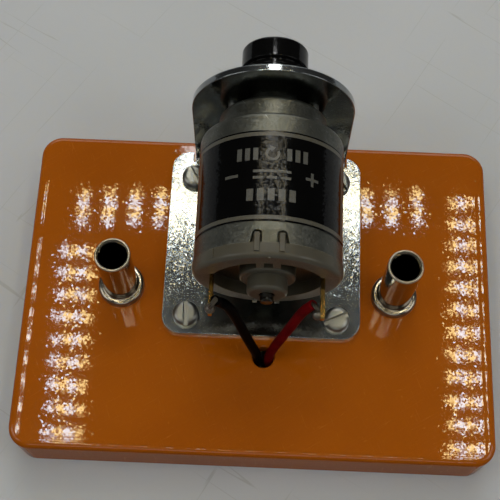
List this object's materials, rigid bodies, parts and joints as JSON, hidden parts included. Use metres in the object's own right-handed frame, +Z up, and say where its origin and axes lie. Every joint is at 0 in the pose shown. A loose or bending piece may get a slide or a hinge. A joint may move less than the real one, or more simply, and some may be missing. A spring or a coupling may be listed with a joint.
{
  "type": "demonstration electric motor",
  "caption": "Small electric motor on a steel bracket with a pulley on its shaft, wired to plug sockets on an orange moulded base.",
  "frame": {"origin": "on the base's underside, under the middle of the outline seen from above, which runs from the base's front edge to the pulley's back", "axes": "+X to the right as seen from the motor's terminals, +Y backwards along the shaft towards the pulley, +Z up"},
  "size_m": [0.075, 0.0602, 0.0394],
  "materials": {
    "base_plastic": "gloss",
    "bracket_zinc": "bright zinc plate",
    "screw_steel": "bright plate",
    "can_steel": "satin",
    "label_film": "satin",
    "cap_nylon": "satin",
    "terminal_brass": "satin",
    "brush_carbon": "matte",
    "magnet_ferrite": "matte",
    "spring_steel": "satin",
    "bearing_bronze": "satin",
    "shaft_steel": "ground",
    "core_steel": "satin",
    "fibre_board": "matte",
    "coil_copper": "enamelled",
    "commutator_copper": "polished",
    "commutator_resin": "satin",
    "spacer_plastic": "satin",
    "pulley_plastic": "satin",
    "socket_nickel": "bright nickel",
    "tag_tin": "tinned",
    "black_insulation": "satin",
    "red_insulation": "satin",
    "wire_tin": "tinned",
    "solder": "bright"
  },
  "bodies": {
    "stator": {"base": "base_plastic", "motor_bracket": "bracket_zinc", "bracket_screws": "screw_steel", "bracket_washers": "screw_steel", "bracket_nuts": "screw_steel", "motor_can": "can_steel", "motor_label": "label_film", "motor_screws": "screw_steel", "end_cap": "cap_nylon", "left_terminal": "terminal_brass", "right_terminal": "terminal_brass", "left_brush_leaf": "terminal_brass", "right_brush_leaf": "terminal_brass", "left_carbon_brush": "brush_carbon", "right_carbon_brush": "brush_carbon", "left_magnet": "magnet_ferrite", "right_magnet": "magnet_ferrite", "magnet_clip": "spring_steel", "front_bearing": "bearing_bronze", "rear_bearing": "bearing_bronze", "left_socket": "socket_nickel", "right_socket": "socket_nickel", "socket_washers": "tag_tin", "left_solder_tag": "tag_tin", "right_solder_tag": "tag_tin", "socket_nuts": "socket_nickel", "black_lead": "black_insulation", "red_lead": "red_insulation", "black_lead_wire": "wire_tin", "red_lead_wire": "wire_tin", "solder_joints": "solder"},
    "rotor": {"shaft": "shaft_steel", "armature_core": "core_steel", "core_insulators": "fibre_board", "coil_1": "coil_copper", "coil_2": "coil_copper", "coil_3": "coil_copper", "commutator_hub": "commutator_resin", "commutator_segment_1": "commutator_copper", "commutator_segment_2": "commutator_copper", "commutator_segment_3": "commutator_copper", "shaft_spacer": "spacer_plastic", "thrust_washers": "spacer_plastic", "drive_pulley": "pulley_plastic"}
  },
  "joints": [
    {"name": "rotor_spin", "type": "hinge", "parent": "stator", "child": "rotor", "pos_m": [0.0013, 0.00655, 0.0269], "axis": [0, 1, 0], "continuous": true}
  ]
}
